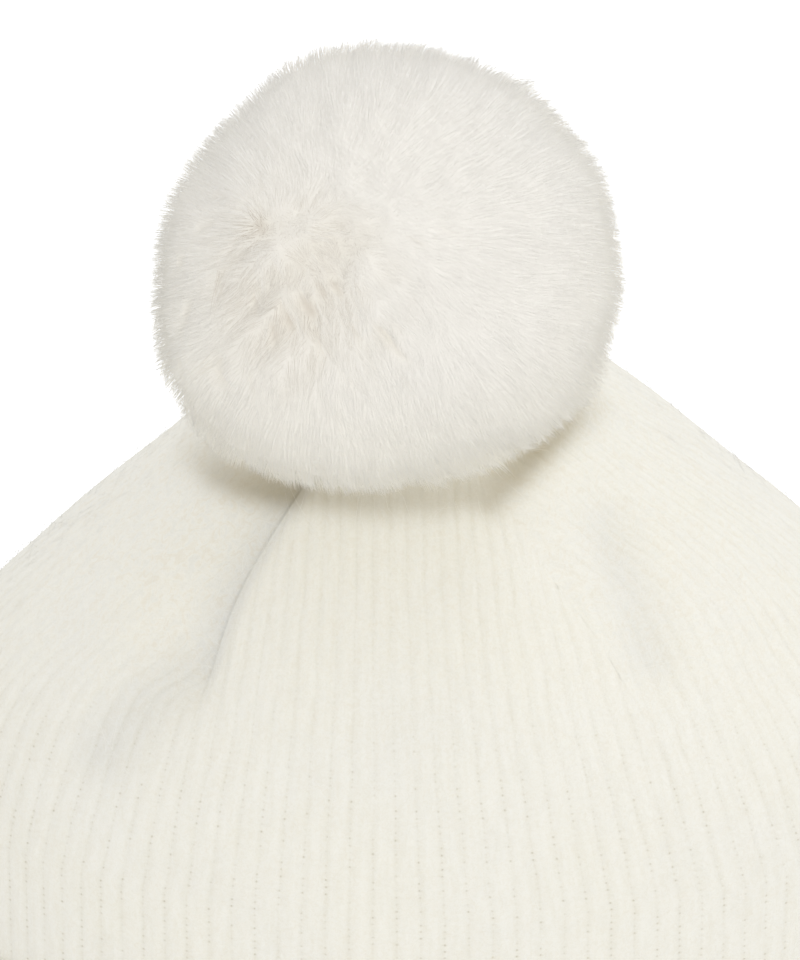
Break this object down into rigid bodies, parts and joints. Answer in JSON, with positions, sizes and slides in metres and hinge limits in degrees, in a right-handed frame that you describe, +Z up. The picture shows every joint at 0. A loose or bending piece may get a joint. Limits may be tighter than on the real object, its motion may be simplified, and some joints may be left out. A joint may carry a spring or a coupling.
{
  "type": "pom pom beanie",
  "caption": "Ivory rib-knit beanie with a turned-up cuff, a crown closed by sewn darts, and a round white fur pom that snaps off the flopped tip.",
  "frame": {"origin": "centre of the head opening, in the plane of the fold that the hat stands on", "axes": "+Z up out of the opening into the crown, -Y the front of the hat as pictured, +X to the right as pictured"},
  "size_m": [0.2254, 0.175, 0.2518],
  "materials": {
    "ivory_knit": "soft brushed rib knit, ivory",
    "thread": "matte sewing yarn, ivory",
    "felt": "matte felt, off-white",
    "nickel": "nickel-plated press stud",
    "wadding": "loose fibre filling, white",
    "fur": "dense short fur, warm white"
  },
  "bodies": {
    "hat": {"knit_body": "ivory_knit", "front_gore": "ivory_knit", "right_gore": "ivory_knit", "back_gore": "ivory_knit", "left_gore": "ivory_knit", "dart_seams": "thread", "back_seam": "thread", "turned_cuff": "ivory_knit"},
    "stud": {"gathered_tip": "ivory_knit", "tip_thread": "thread", "inner_patch": "felt", "snap_stud": "nickel", "stud_stitches": "thread"},
    "spring": {"socket_spring": "nickel"},
    "pom": {"snap_socket": "nickel", "socket_stitches": "thread", "base_disc": "felt", "gather_thread": "thread", "stuffing": "wadding", "fur_cover": "fur"}
  },
  "joints": [
    {"name": "pom_nod", "type": "hinge", "parent": "hat", "child": "stud", "pos_m": [-0.0095, -0.019, 0.18], "axis": [-1, 0, 0], "range_deg": [0, 24]},
    {"name": "snap_release", "type": "slide", "parent": "stud", "child": "spring", "axis": [0, -0.766, 0.6428], "range_m": [0, 0.08]},
    {"name": "pom_spin", "type": "hinge", "parent": "spring", "child": "pom", "pos_m": [-0.0095, -0.019, 0.18], "axis": [0, -0.766, 0.6428], "continuous": true}
  ]
}
